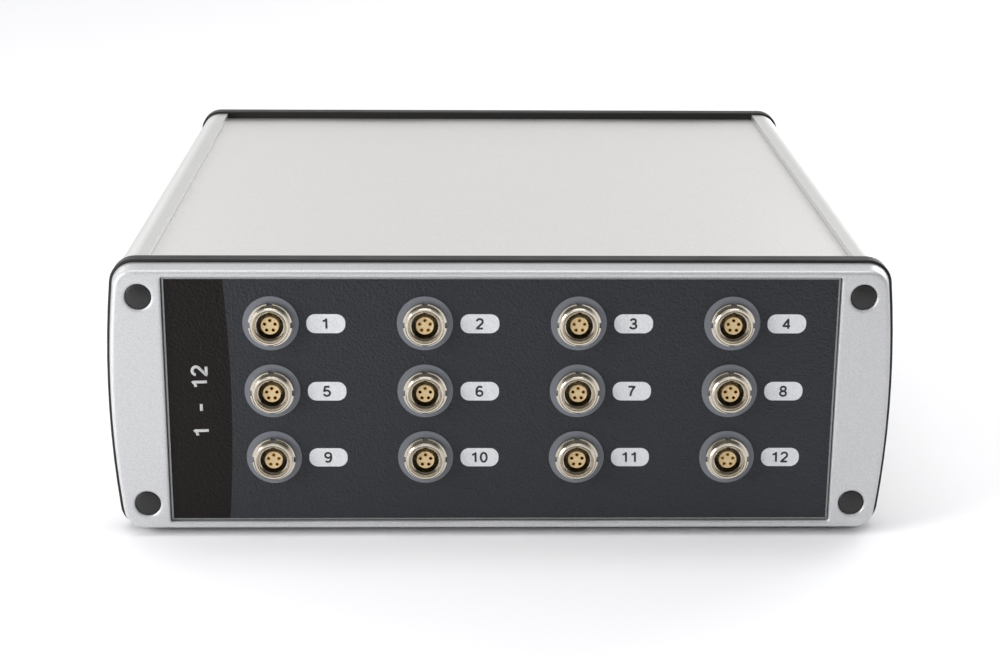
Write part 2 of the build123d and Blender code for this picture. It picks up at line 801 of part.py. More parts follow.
# Direct-current inlet: a threaded round jack with a centre pin and its nut behind the panel
inlet_axis_plane = facing_back(rear_panel_face, *inlet_place)
with BuildPart() as inlet:
    with BuildSketch(inlet_axis_plane):
        Circle(inlet_flange_radius)
    extrude(amount=inlet_flange_thickness)
    chamfer(inlet.faces().sort_by(Axis.Y)[-1].edges(), length=inlet_flange_thickness / 4)
    with BuildSketch(inlet_axis_plane):
        Circle(inlet_barrel_radius)
    extrude(amount=-inlet_barrel_length)
    with BuildSketch(facing_back(rear_panel_face + inlet_flange_thickness, *inlet_place)):
        Circle(inlet_bore_radius)
    extrude(amount=-inlet_bore_depth, mode=Mode.SUBTRACT)
    with BuildSketch(
        facing_back(rear_panel_face + inlet_flange_thickness - inlet_bore_depth, *inlet_place)
    ):
        Circle(inlet_pin_radius)
    extrude(amount=inlet_bore_depth - inlet_pin_sunk)
    with BuildSketch(facing_back(rear_panel_inside, *inlet_place)):
        RegularPolygon(inlet_nut_across_flats / 2, 6, major_radius=False)
    extrude(amount=-inlet_nut_thickness)
save(inlet, "dc_inlet")

# Network port: a folded metal shell with the stepped opening for a latched plug
lan_rise = lan_height + lan_cavity_rise
with BuildPart() as lan_port:
    with BuildSketch(facing_back(port_face, lan_place, lan_height)):
        Rectangle(*lan_shell[:2])
    extrude(amount=-lan_shell[2])
    with BuildSketch(facing_back(port_face, lan_place, lan_rise)):
        Rectangle(*lan_cavity[:2])
        with Locations((0, -lan_cavity[1] / 2)):
            Rectangle(*lan_latch, align=(Align.CENTER, Align.MAX))
    extrude(amount=-lan_cavity[2], mode=Mode.SUBTRACT)
save(lan_port, "network_port")

# Serial bus port: a metal shell with two cut corners and the tongue that holds the contacts
with BuildPart() as usb_port:
    with BuildSketch(facing_back(port_face, usb_place, usb_height)):
        Rectangle(*usb_shell[:2])
    extrude(amount=-usb_shell[2])
    with BuildSketch(facing_back(port_face, usb_place, usb_height)) as mouth:
        Rectangle(*usb_cavity[:2])
        chamfer(mouth.vertices().group_by(Axis.Y)[-1], length=usb_chamfer)
    extrude(amount=-usb_cavity[2], mode=Mode.SUBTRACT)
    with BuildSketch(facing_back(port_face - usb_cavity[2], usb_place, usb_height)):
        Rectangle(*usb_tongue)
    extrude(amount=usb_cavity[2] - usb_tongue_sunk)
save(usb_port, "serial_bus_port")

# Auxiliary port, mounted from behind: a flange with a D-shaped shell round a socket strip,
# and two hexagon jackscrews that clamp it to the panel
def aux_plane(out):
    return facing_back(rear_panel_inside + out, aux_place, aux_height)


top_count, lower_count = 8, 7
jackscrew_top = panel_thickness + jackscrew_length
with BuildPart() as aux_port:
    with BuildSketch(aux_plane(0)):
        RectangleRounded(*aux_flange[:2], aux_flange[2])
        with GridLocations(jackscrew_spacing, 0, 2, 1):
            Circle(jackscrew_shank_radius, mode=Mode.SUBTRACT)
    extrude(amount=-aux_flange[2])
    with BuildSketch(aux_plane(-aux_flange[2])):
        Rectangle(*aux_body[:2])
    extrude(amount=-aux_body[2])
    with BuildSketch(aux_plane(-aux_flange[2])) as d_shape:
        half_wide, half_tall = aux_shell[0] / 2, aux_shell[1] / 2
        with BuildLine():
            Polyline(
                (-half_wide, half_tall),
                (half_wide, half_tall),
                (half_wide - aux_shell_lean, -half_tall),
                (aux_shell_lean - half_wide, -half_tall),
                close=True,
            )
        make_face()
        fillet(d_shape.vertices(), radius=aux_shell_radius)
    extrude(amount=aux_flange[2] + aux_shell_length)
    with BuildSketch(aux_plane(aux_shell_length)):
        for count, side in ((top_count, 1), (lower_count, -1)):
            with Locations((0, side * aux_hole_pitch[1] / 2)):
                with GridLocations(aux_hole_pitch[0], 0, count, 1):
                    Circle(aux_hole_radius)
    extrude(amount=-aux_hole_depth, mode=Mode.SUBTRACT)

with BuildPart() as jackscrews:
    with BuildSketch(aux_plane(panel_thickness)):
        with GridLocations(jackscrew_spacing, 0, 2, 1):
            RegularPolygon(jackscrew_across_flats / 2, 6, major_radius=False)
    extrude(amount=jackscrew_length)
    with BuildSketch(aux_plane(jackscrew_top)):
        with GridLocations(jackscrew_spacing, 0, 2, 1):
            Circle(jackscrew_bore_radius)
    extrude(amount=-jackscrew_length, mode=Mode.SUBTRACT)
    with BuildSketch(aux_plane(panel_thickness)):
        with GridLocations(jackscrew_spacing, 0, 2, 1):
            Circle(jackscrew_shank_radius - head_float)
    extrude(amount=-(panel_thickness + aux_flange[2]))
save(jackscrews, "jackscrews")
save(aux_port, "auxiliary_port")

# Earth socket for a 4 mm plug, with its nut behind the panel
earth_tip = -front_face + stand_out
with BuildPart() as earth_socket:
    with BuildSketch(facing_back(rear_panel_face, *earth_place)):
        Circle(earth_collar_radius)
    extrude(amount=earth_tip - rear_panel_face)
    chamfer(earth_socket.faces().sort_by(Axis.Y)[-1].edges(), length=bezel_edge_radius / 2)
    with BuildSketch(facing_back(rear_panel_face, *earth_place)):
        Circle(earth_barrel_radius)
    extrude(amount=-earth_barrel_length)
    with BuildSketch(facing_back(rear_panel_inside, *earth_place)):
        RegularPolygon(earth_nut_across_flats / 2, 6, major_radius=False)
    extrude(amount=-earth_nut_thickness)
    with BuildSketch(facing_back(earth_tip, *earth_place)):
        Circle(earth_bore_radius)
    extrude(amount=-earth_bore_depth, mode=Mode.SUBTRACT)
save(earth_socket, "earth_socket")
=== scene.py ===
import bmesh
import bpy
import math
from mathutils import Matrix, Vector


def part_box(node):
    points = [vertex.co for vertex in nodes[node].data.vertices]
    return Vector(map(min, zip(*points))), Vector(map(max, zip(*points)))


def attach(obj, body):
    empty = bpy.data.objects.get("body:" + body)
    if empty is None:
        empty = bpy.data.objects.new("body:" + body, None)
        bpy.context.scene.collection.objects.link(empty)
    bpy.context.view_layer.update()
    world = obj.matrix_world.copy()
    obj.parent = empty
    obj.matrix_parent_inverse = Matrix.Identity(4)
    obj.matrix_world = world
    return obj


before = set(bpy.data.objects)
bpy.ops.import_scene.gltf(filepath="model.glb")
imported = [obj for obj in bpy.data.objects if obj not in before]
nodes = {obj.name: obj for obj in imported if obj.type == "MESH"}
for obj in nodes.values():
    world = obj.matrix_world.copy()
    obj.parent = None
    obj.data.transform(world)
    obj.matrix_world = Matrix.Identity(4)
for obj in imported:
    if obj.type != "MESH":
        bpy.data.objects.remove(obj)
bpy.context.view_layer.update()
MM = 0.001

# Camera
# The instrument is seen from the front and a little above, almost square on, with a long
# lens and the receptacle rows a hair off level, as the photograph was taken.
camera_place = Vector((-0.014317, -0.754694, 0.266904))
camera_pitch, camera_turn, camera_roll = 0.305, 0.022, 0.007
look = Vector((
    math.sin(camera_turn) * math.cos(camera_pitch),
    math.cos(camera_turn) * math.cos(camera_pitch),
    -math.sin(camera_pitch),
))
level_right = look.cross(Vector((0, 0, 1))).normalized()
level_up = level_right.cross(look)
right = math.cos(camera_roll) * level_right + math.sin(camera_roll) * level_up
up = math.cos(camera_roll) * level_up - math.sin(camera_roll) * level_right
camera_data = bpy.data.cameras.new("photo_camera")
camera_data.sensor_width = 36.0
camera_data.lens = 71.618
camera_data.clip_start = 0.01
camera_data.clip_end = 50.0
camera = bpy.data.objects.new("photo_camera", camera_data)
bpy.context.scene.collection.objects.link(camera)
camera.matrix_world = Matrix((
    (right.x, up.x, -look.x, camera_place.x),
    (right.y, up.y, -look.y, camera_place.y),
    (right.z, up.z, -look.z, camera_place.z),
    (0, 0, 0, 1),
))
bpy.context.scene.camera = camera

# Bezels
# Die-cast aluminium frames at the two ends, sprayed with a silver metallic paint whose
# flakes and fine orange peel show from close by. Screws under the caps hold them.


def effect_group(name, inputs, outputs):
    """An empty node group with named sockets, and its input and output nodes."""
    group = bpy.data.node_groups.new(name, "ShaderNodeTree")
    for label, value in inputs:
        kind = "NodeSocketColor" if isinstance(value, tuple) else "NodeSocketFloat"
        socket = group.interface.new_socket(name=label, in_out="INPUT", socket_type=kind)
        socket.default_value = value
    for label, kind in outputs:
        group.interface.new_socket(name=label, in_out="OUTPUT", socket_type=kind)
    return group, group.nodes.new("NodeGroupInput"), group.nodes.new("NodeGroupOutput")


def noise_spread(group):
    """A Map Range node that takes the middle of a noise, where its values lie, to full range."""
    spread = group.nodes.new("ShaderNodeMapRange")
    spread.inputs["From Min"].default_value = 0.3
    spread.inputs["From Max"].default_value = 0.7
    return spread


# Fine grain: a small noise as a mask and as a bump of the given depth in metres.
grain_group, grain_in, grain_out = effect_group(
    "fine_grain",
    [("Scale", 2500.0), ("Depth", 0.00001), ("Detail", 3.0)],
    [("Mask", "NodeSocketFloat"), ("Normal", "NodeSocketVector")],
)
grain_place = grain_group.nodes.new("ShaderNodeTexCoord")
grain_noise = grain_group.nodes.new("ShaderNodeTexNoise")
grain_bump = grain_group.nodes.new("ShaderNodeBump")
grain_spread = noise_spread(grain_group)
grain_links = grain_group.links
grain_links.new(grain_place.outputs["Object"], grain_noise.inputs["Vector"])
grain_links.new(grain_in.outputs["Scale"], grain_noise.inputs["Scale"])
grain_links.new(grain_in.outputs["Detail"], grain_noise.inputs["Detail"])
grain_links.new(grain_noise.outputs["Fac"], grain_bump.inputs["Height"])
grain_links.new(grain_in.outputs["Depth"], grain_bump.inputs["Distance"])
grain_links.new(grain_noise.outputs["Fac"], grain_spread.inputs["Value"])
grain_links.new(grain_spread.outputs["Result"], grain_out.inputs["Mask"])
grain_links.new(grain_bump.outputs["Normal"], grain_out.inputs["Normal"])

# Soft patches: a broad noise between two values, for handling marks and uneven gloss.
patch_group, patch_in, patch_out = effect_group(
    "soft_patches",
    [("Scale", 30.0), ("Low", 0.35), ("High", 0.45)],
    [("Value", "NodeSocketFloat")],
)
patch_place = patch_group.nodes.new("ShaderNodeTexCoord")
patch_noise = patch_group.nodes.new("ShaderNodeTexNoise")
patch_noise.inputs["Detail"].default_value = 4.0
patch_range = noise_spread(patch_group)
patch_links = patch_group.links
patch_links.new(patch_place.outputs["Object"], patch_noise.inputs["Vector"])
patch_links.new(patch_in.outputs["Scale"], patch_noise.inputs["Scale"])
patch_links.new(patch_noise.outputs["Fac"], patch_range.inputs["Value"])
patch_links.new(patch_in.outputs["Low"], patch_range.inputs["To Min"])
patch_links.new(patch_in.outputs["High"], patch_range.inputs["To Max"])
patch_links.new(patch_range.outputs["Result"], patch_out.inputs["Value"])


def finish_of(name, dark, light, metallic, gloss, grain, patches, coat=0.0):
    """A grained finish. gloss is the lowest and highest roughness, grain its scale and
    depth, and patches the scale of its uneven gloss."""
    material = bpy.data.materials.new(name)
    material.use_nodes = True
    tree = material.node_tree
    shader = tree.nodes["Principled BSDF"]
    shader.inputs["Metallic"].default_value = metallic
    shader.inputs["Coat Weight"].default_value = coat
    fine = tree.nodes.new("ShaderNodeGroup")
    fine.node_tree = grain_group
    fine.inputs["Scale"].default_value = grain[0]
    fine.inputs["Depth"].default_value = grain[1]
    colour = tree.nodes.new("ShaderNodeMix")
    colour.data_type = "RGBA"
    colour.inputs["A"].default_value = (*dark, 1)
    colour.inputs["B"].default_value = (*light, 1)
    tree.links.new(fine.outputs["Mask"], colour.inputs["Factor"])
    tree.links.new(colour.outputs["Result"], shader.inputs["Base Color"])
    tree.links.new(fine.outputs["Normal"], shader.inputs["Normal"])
    uneven = tree.nodes.new("ShaderNodeGroup")
    uneven.node_tree = patch_group
    uneven.inputs["Scale"].default_value = patches
    uneven.inputs["Low"].default_value = gloss[0]
    uneven.inputs["High"].default_value = gloss[1]
    tree.links.new(uneven.outputs["Value"], shader.inputs["Roughness"])
    return material


def dress(material, *names):
    """Gives CAD nodes their finish."""
    for name in names:
        for place in nodes[name].material_slots:
            place.material = material


paint_grain, paint_rounding = (3200.0, 0.000012), 1.7 * MM
silver_paint = finish_of(
    "silver_metallic_paint", (0.47, 0.475, 0.485), (0.66, 0.665, 0.675),
    0.55, (0.36, 0.44), paint_grain, 25.0, coat=0.15,
)

# The paint runs softly over the edges, so its grain stands on a rounded normal.
tree = silver_paint.node_tree
shader = tree.nodes["Principled BSDF"]
grain_here = shader.inputs["Normal"].links[0].from_node
softened = tree.nodes.new("ShaderNodeBevel")
softened.samples = 8
softened.inputs["Radius"].default_value = paint_rounding
paint_bump = tree.nodes.new("ShaderNodeBump")
paint_bump.inputs["Distance"].default_value = paint_grain[1]
tree.links.new(grain_here.outputs["Mask"], paint_bump.inputs["Height"])
tree.links.new(softened.outputs["Normal"], paint_bump.inputs["Normal"])
tree.links.new(paint_bump.outputs["Normal"], shader.inputs["Normal"])
dress(silver_paint, "front_bezel", "rear_bezel")

# Seals
# Black elastomer frames between the bezels and the body. They stand a little proud, and
# are moulded with a fine matte skin.
seal_black = finish_of(
    "seal_elastomer", (0.0065, 0.0058, 0.0055), (0.015, 0.0138, 0.013),
    0.0, (0.48, 0.62), (5200.0, 0.000008), 60.0,
)
seal_black.node_tree.nodes["Principled BSDF"].inputs["Specular IOR Level"].default_value = 0.3
dress(seal_black, "front_seal", "rear_seal")

# Body
# Two side profiles and two cover plates of extruded and rolled aluminium, blasted and
# anodised in natural silver. The plates slide into grooves under the profiles' lips.


def anodised(name, dark, light, gloss, streak_axis):
    """Blasted, anodised aluminium with the faint streaks of its extrusion or rolling."""
    material = finish_of(name, dark, light, 0.88, gloss, (2600.0, 0.000006), 18.0)
    tree = material.node_tree
    shader = tree.nodes["Principled BSDF"]
    place = tree.nodes.new("ShaderNodeTexCoord")
    squeeze = tree.nodes.new("ShaderNodeMapping")
    squeeze.inputs["Scale"].default_value = tuple(
        6.0 if axis == streak_axis else 700.0 for axis in range(3)
    )
    streaks = tree.nodes.new("ShaderNodeTexNoise")
    streaks.inputs["Scale"].default_value = 1.0
    tree.links.new(place.outputs["Object"], squeeze.inputs["Vector"])
    tree.links.new(squeeze.outputs["Vector"], streaks.inputs["Vector"])
    bump = tree.nodes.new("ShaderNodeBump")
    bump.inputs["Distance"].default_value = 0.000004
    tree.links.new(streaks.outputs["Fac"], bump.inputs["Height"])
    tree.links.new(shader.inputs["Normal"].links[0].from_socket, bump.inputs["Normal"])
    tree.links.new(bump.outputs["Normal"], shader.inputs["Normal"])
    return material


profile_metal = anodised(
    "anodised_profile", (0.54, 0.54, 0.53), (0.63, 0.63, 0.62), (0.34, 0.42), 1
)
plate_metal = anodised(
    "anodised_plate", (0.645, 0.636, 0.626), (0.755, 0.746, 0.734), (0.36, 0.44), 0
)
dress(profile_metal, "left_side_profile", "right_side_profile")
dress(plate_metal, "top_cover", "bottom_cover")

# Screws and caps
# Zinc-plated screws hold the bezels, and black plastic caps with a spark-eroded grain
# push into their sockets so that only a shallow dome shows.
zinc = finish_of(
    "zinc_plated_steel", (0.42, 0.43, 0.44), (0.60, 0.61, 0.62),
    1.0, (0.25, 0.38), (1800.0, 0.000006), 300.0,
)
cap_black = finish_of(
    "cap_plastic", (0.004, 0.004, 0.0042), (0.013, 0.0125, 0.0135),
    0.0, (0.30, 0.42), (1900.0, 0.00009), 200.0,
)
dress(zinc, "case_screws", "panel_screws")
dress(cap_black, "screw_caps")


def new_piece(name, mesh, material, body):
    """A piece with its place in its mesh, dressed and riding on a CAD body."""
    piece = bpy.data.objects.new(name, mesh)
    bpy.context.scene.collection.objects.link(piece)
    mesh.materials.clear()
    mesh.materials.append(material)
    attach(piece, body)
    return piece


def mesh_from(name, bm):
    mesh = bpy.data.meshes.new(name)
    bm.to_mesh(mesh)
    bm.free()
    return mesh


def turned(bm, place, profile, segments, closed):
    """Adds a turned surface to bm from its (radius, lift) points. A closed profile makes a
    ring, and an open one ends in a small flat at its last point."""
    loops = []
    for reach, lift in profile:
        lifted = place @ Matrix.Translation((0, 0, lift))
        circle = bmesh.ops.create_circle(bm, segments=segments, radius=reach, matrix=lifted)
        loops.append(list(dict.fromkeys(e for v in circle["verts"] for e in v.link_edges)))
    for near, far in zip(loops, loops[1:] + (loops[:1] if closed else [])):
        bmesh.ops.bridge_loops(bm, edges=near + far)
    if not closed:
        bmesh.ops.contextual_create(bm, geom=loops[-1])


# The face of each cap is a shallow dome, a little over a third of a millimetre high.
facing_front = Matrix.Rotation(math.pi / 2, 4, "X")
facing_back = Matrix.Rotation(math.pi, 4, "Z") @ facing_front
caps_low, caps_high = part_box("screw_caps")
cap_reach, dome_reach, dome_height, dome_root = 4.2 * MM, 3.76 * MM, 0.40 * MM, 0.03 * MM
dome_profile = [
    (dome_reach * share, dome_height * (1 - share ** 2) - dome_root)
    for share in (1, 0.9, 0.8, 0.68, 0.55, 0.42, 0.3, 0.18, 0.07)
]
bm = bmesh.new()
for facing, face in ((facing_front, caps_low.y), (facing_back, caps_high.y)):
    for x in (caps_low.x + cap_reach, caps_high.x - cap_reach):
        for z in (caps_low.z + cap_reach, caps_high.z - cap_reach):
            turned(bm, Matrix.Translation((x, face, z)) @ facing, dome_profile, 48, False)
bmesh.ops.recalc_face_normals(bm, faces=bm.faces)
for face in bm.faces:
    face.smooth = True
cap_domes = new_piece("cap_domes", mesh_from("cap_domes", bm), cap_black, "housing")

# Front panel and foil
# A plate of natural anodised aluminium, covered to a hair of its edge by a polyester foil
# with a leather-like emboss, printed dark blue-grey with a blacker stripe at the left.
panel_metal = anodised(
    "anodised_panel", (0.60, 0.60, 0.60), (0.74, 0.74, 0.74), (0.30, 0.38), 0
)
# The front plate shows only as a thin margin inside the bezel's recess. Its copy of the anodised finish
# is darker than the rear plate's: painted shade for that recess.
panel_margin_painted_shade = anodised(
    "anodised_panel_painted_shade", (0.22, 0.23, 0.225), (0.33, 0.345, 0.34), (0.34, 0.44), 0
)
dress(panel_margin_painted_shade, "front_panel")
bezel_low, bezel_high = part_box("front_bezel")
mid_height = (bezel_low.z + bezel_high.z) / 2
stripe_edge, stripe_radius = -0.0892, 0.490

# Leather emboss: soft wrinkled cells about three quarters of a millimetre across.
emboss_group, emboss_in, emboss_out = effect_group(
    "leather_emboss", [("Scale", 1350.0), ("Depth", 0.0001)], [("Normal", "NodeSocketVector")]
)
emboss_place = emboss_group.nodes.new("ShaderNodeTexCoord")
wander = emboss_group.nodes.new("ShaderNodeTexNoise")
wander.inputs["Detail"].default_value = 2.0
sway = emboss_group.nodes.new("ShaderNodeVectorMath")
sway.operation = "MULTIPLY_ADD"
sway.inputs[1].default_value = (0.0011, 0.0011, 0.0011)
cells = emboss_group.nodes.new("ShaderNodeTexVoronoi")
cells.feature = "SMOOTH_F1"
emboss_bump = emboss_group.nodes.new("ShaderNodeBump")
emboss_links = emboss_group.links
emboss_links.new(emboss_place.outputs["Object"], wander.inputs["Vector"])
emboss_links.new(emboss_in.outputs["Scale"], wander.inputs["Scale"])
emboss_links.new(wander.outputs["Color"], sway.inputs[0])
emboss_links.new(emboss_place.outputs["Object"], sway.inputs[2])
emboss_links.new(sway.outputs["Vector"], cells.inputs["Vector"])
emboss_links.new(emboss_in.outputs["Scale"], cells.inputs["Scale"])
emboss_links.new(cells.outputs["Distance"], emboss_bump.inputs["Height"])
emboss_links.new(emboss_in.outputs["Depth"], emboss_bump.inputs["Distance"])
emboss_links.new(emboss_bump.outputs["Normal"], emboss_out.inputs["Normal"])


def emboss(material, depth):
    """Gives a foil's surface, or the ink on it, the foil's leather emboss."""
    tree = material.node_tree
    leather = tree.nodes.new("ShaderNodeGroup")
    leather.node_tree = emboss_group
    leather.inputs["Depth"].default_value = depth
    tree.links.new(leather.outputs["Normal"], tree.nodes["Principled BSDF"].inputs["Normal"])


def calculated(tree, operation, first, second, third=None):
    """A Math node fed by sockets or numbers."""
    node = tree.nodes.new("ShaderNodeMath")
    node.operation = operation
    for socket, value in zip(node.inputs, (first, second, third)):
        if isinstance(value, bpy.types.NodeSocket):
            tree.links.new(value, socket)
        elif value is not None:
            socket.default_value = value
    return node.outputs["Value"]


foil_print = finish_of(
    "embossed_foil", (0.0100, 0.0110, 0.0152), (0.018, 0.0195, 0.0262),
    0.0, (0.34, 0.42), (5000.0, 0.000002), 45.0,
)
emboss(foil_print, 0.00026)
tree = foil_print.node_tree
shader = tree.nodes["Principled BSDF"]
place = tree.nodes.new("ShaderNodeTexCoord")
split = tree.nodes.new("ShaderNodeSeparateXYZ")
tree.links.new(place.outputs["Object"], split.inputs["Vector"])
from_middle = calculated(tree, "SUBTRACT", split.outputs["Z"], mid_height)
squared = calculated(tree, "MULTIPLY", from_middle, from_middle)
edge_here = calculated(tree, "MULTIPLY_ADD", squared, -0.5 / stripe_radius, stripe_edge)
in_stripe = calculated(tree, "LESS_THAN", split.outputs["X"], edge_here)
shine = calculated(tree, "MULTIPLY_ADD", in_stripe, -0.2, 0.38)
tree.links.new(shine, shader.inputs["Specular IOR Level"])
stripe_tint = tree.nodes.new("ShaderNodeMix")
stripe_tint.data_type = "RGBA"
stripe_tint.inputs["B"].default_value = (0.0065, 0.0042, 0.0038, 1)
printed = shader.inputs["Base Color"].links[0].from_socket
tree.links.new(in_stripe, stripe_tint.inputs["Factor"])
tree.links.new(printed, stripe_tint.inputs["A"])
tree.links.new(stripe_tint.outputs["Result"], shader.inputs["Base Color"])
dress(foil_print, "front_foil")

# Channel labels
# Pale rounded labels printed on the foil beside the receptacles, one for each channel,
# with its number in black.
foil_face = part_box("front_foil")[0].y
column_pitch, row_pitch, top_row = 50.4 * MM, 23.36 * MM, mid_height + 26.94 * MM
label_size, label_corner, label_offset = (12.7 * MM, 6.5 * MM), 2.9 * MM, (18.0 * MM, -0.16 * MM)
ink_thickness = 0.06 * MM
receptacles = [
    Vector((column_pitch * (column - 1.5), 0, top_row - row_pitch * row))
    for row in range(3)
    for column in range(4)
]


def plate(bm, size, corner, thickness, place):
    """Adds a flat plate with rounded corners to bm. Its two faces lie one above the other,
    bridged round the rim, because an extruded face comes out in a new order each run."""
    one = bmesh.new()
    for lift in (0, thickness):
        corners = bmesh.ops.create_grid(one, x_segments=1, y_segments=1, size=0.5)["verts"]
        bmesh.ops.scale(one, vec=(size[0], size[1], 1), verts=corners)
        bmesh.ops.translate(one, vec=(0, 0, lift), verts=corners)
        if corner:
            bmesh.ops.bevel(
                one, geom=corners, offset=corner, segments=10, profile=0.5,
                affect="VERTICES", material=-1,
            )
    bmesh.ops.bridge_loops(one, edges=one.edges)
    bmesh.ops.recalc_face_normals(one, faces=one.faces)
    bmesh.ops.transform(one, matrix=place, verts=one.verts)
    bm.from_mesh(mesh_from("plate", one))


def label_centre(spot, lift):
    return Vector((spot.x + label_offset[0], foil_face - lift, spot.z + label_offset[1]))


def printed_ink(name, dark, light, gloss=(0.4, 0.5), depth=0.00001):
    """A matte ink with a slight grain of the given depth."""
    return finish_of(name, dark, light, 0.0, gloss, (1400.0, depth), 90.0)


bm = bmesh.new()
for spot in receptacles:
    place_here = Matrix.Translation(label_centre(spot, 0)) @ facing_front
    plate(bm, label_size, label_corner, ink_thickness, place_here)
label_ink = printed_ink(
    "pale_ink", (0.60, 0.61, 0.63), (0.70, 0.71, 0.73), gloss=(0.42, 0.5), depth=0.00002
)
emboss(label_ink, 0.00014)
labels = new_piece("channel_labels", mesh_from("channel_labels", bm), label_ink, "housing")

black_ink = printed_ink("black_ink", (0.006, 0.006, 0.007), (0.016, 0.016, 0.018))


def bow(middle, reach, start, end, steps=14):
    """Points on part of an oval, between two angles in degrees."""
    turn = (math.radians(start + (end - start) * step / steps) for step in range(steps + 1))
    return [(middle[0] + reach[0] * math.cos(a), middle[1] + reach[1] * math.sin(a)) for a in turn]


# The strokes of each figure on a unit height, as centre lines.
figure_strokes = {
    "0": [bow((0.28, 0.5), (0.215, 0.445), 0, 360)],
    "1": [[(0.08, 0.755)] + bow((0.10, 1.0), (0.235, 0.245), -80, -14, 5) + [(0.345, 0.04)]],
    "2": [bow((0.28, 0.69), (0.21, 0.255), 172, -38) + [(0.06, 0.055), (0.50, 0.055)]],
    "3": [
        bow((0.265, 0.725), (0.185, 0.22), 165, -90) + [(0.20, 0.505)],
        bow((0.265, 0.28), (0.225, 0.225), 90, -165),
    ],
    "4": [[(0.395, 0.04), (0.395, 0.93), (0.045, 0.29), (0.53, 0.29)]],
    "5": [[(0.475, 0.93), (0.145, 0.93), (0.085, 0.49)] + bow((0.27, 0.32), (0.225, 0.265), 135, -162)],
    "6": [
        bow((0.285, 0.30), (0.215, 0.245), 0, 360),
        bow((0.30, 0.5), (0.235, 0.445), 48, 206),
    ],
    "7": [[(0.05, 0.93), (0.505, 0.93), (0.36, 0.68), (0.26, 0.42), (0.20, 0.04)]],
    "8": [
        bow((0.28, 0.725), (0.185, 0.215), 0, 360),
        bow((0.28, 0.275), (0.22, 0.225), 0, 360),
    ],
    "9": [
        bow((0.275, 0.70), (0.215, 0.245), 0, 360),
        bow((0.26, 0.5), (0.235, 0.445), 228, 386),
    ],
    "-": [[(0.10, 0.45), (0.46, 0.45)]],
}
figure_width, figure_weight, figure_stretch = 0.82, 0.096, 1.27


def kept_wide(points, near=0.04):
    """Adds a point close to both ends of each long stroke, so that it keeps its full width
    up to its corners."""
    dense = [points[0]]
    for (x0, y0), (x1, y1) in zip(points, points[1:]):
        length = math.hypot(x1 - x0, y1 - y0)
        if length > 3 * near:
            for share in (near / length, 1 - near / length):
                dense.append((x0 + share * (x1 - x0), y0 + share * (y1 - y0)))
        dense.append((x1, y1))
    return dense


def figures_mesh(words, height, thickness):
    """A row of figures as flat rounded strokes, centred on its own middle."""
    strokes = bpy.data.curves.new("figures", "CURVE")
    strokes.dimensions = "3D"
    strokes.bevel_depth = figure_weight
    strokes.bevel_resolution = 2
    strokes.use_fill_caps = True
    for place_in_row, figure in enumerate(words):
        start = figure_width * (place_in_row - len(words) / 2) + 0.03
        for points in map(kept_wide, figure_strokes.get(figure, [])):
            line = strokes.splines.new("POLY")
            line.points.add(len(points) - 1)
            for point, (x, y) in zip(line.points, points):
                point.co = (start + figure_stretch * x, y - 0.5, 0, 1)
    holder = bpy.data.objects.new("figures", strokes)
    bpy.context.scene.collection.objects.link(holder)
    bpy.context.view_layer.update()
    mesh = bpy.data.meshes.new_from_object(
        holder.evaluated_get(bpy.context.evaluated_depsgraph_get())
    )
    bpy.data.objects.remove(holder)
    flatness = thickness / (2 * figure_weight)
    mesh.transform(Matrix.Diagonal((height, height, flatness, 1)))
    return mesh


numeral_height = 3.65 * MM
bm = bmesh.new()
for number, spot in enumerate(receptacles, start=1):
    figures = figures_mesh(str(number), numeral_height, ink_thickness)
    figures.transform(Matrix.Translation(label_centre(spot, 1.4 * ink_thickness)) @ facing_front)
    bm.from_mesh(figures)
numerals = new_piece("channel_numerals", mesh_from("channel_numerals", bm), black_ink, "housing")

# Range mark on the stripe
# Plain pale figures printed on the black stripe, turned to read upwards. They give the
# range of the channel numbers.
stripe_ink = printed_ink(
    "grey_ink", (0.42, 0.42, 0.42), (0.52, 0.52, 0.52), gloss=(0.42, 0.5)
)
mark_height, stripe_middle = 5.2 * MM, -99.5 * MM
read_upwards = Matrix.Rotation(math.pi / 2, 4, "Z")
range_mark = figures_mesh("1 - 12", mark_height, ink_thickness)
mark_place = Matrix.Translation((stripe_middle, foil_face - 0.5 * ink_thickness, mid_height))
range_mark.transform(mark_place @ facing_front @ read_upwards)
stripe_mark = new_piece("stripe_figures", range_mark, stripe_ink, "housing")

# Insulating washers
# Grey shouldered washers of moulded plastic. They sit in the panel's holes and keep each
# receptacle clear of the metal.
washer_grey = finish_of(
    "washer_plastic", (0.12, 0.13, 0.15), (0.165, 0.175, 0.20),
    0.0, (0.32, 0.42), (4200.0, 0.000006), 120.0,
)
dress(washer_grey, "insulating_washers")

# Receptacles
# Brass shells turned on a lathe and plated with satin nickel, with a notched flange for
# the fitting spanner and a dished nose. The tool marks run round each axis.
rings_group, rings_in, rings_out = effect_group(
    "turned_rings", [("Pitch", 0.00012), ("Depth", 0.000003)], [("Normal", "NodeSocketVector")]
)
rings_place = rings_group.nodes.new("ShaderNodeTexCoord")
rings_split = rings_group.nodes.new("ShaderNodeSeparateXYZ")
rings_group.links.new(rings_place.outputs["Object"], rings_split.inputs["Vector"])
across = calculated(rings_group, "WRAP", rings_split.outputs["X"], column_pitch, 0.0)
across = calculated(rings_group, "SUBTRACT", across, column_pitch / 2)
along = calculated(rings_group, "SUBTRACT", rings_split.outputs["Z"], top_row)
along = calculated(rings_group, "WRAP", along, row_pitch / 2, -row_pitch / 2)
across_squared = calculated(rings_group, "MULTIPLY", across, across)
radius = calculated(rings_group, "MULTIPLY_ADD", along, along, across_squared)
radius = calculated(rings_group, "POWER", radius, 0.5)
radius = calculated(rings_group, "ADD", radius, rings_split.outputs["Y"])
turns = calculated(rings_group, "DIVIDE", radius, rings_in.outputs["Pitch"])
waves = calculated(rings_group, "SINE", turns, None)
rings_bump = rings_group.nodes.new("ShaderNodeBump")
rings_group.links.new(waves, rings_bump.inputs["Height"])
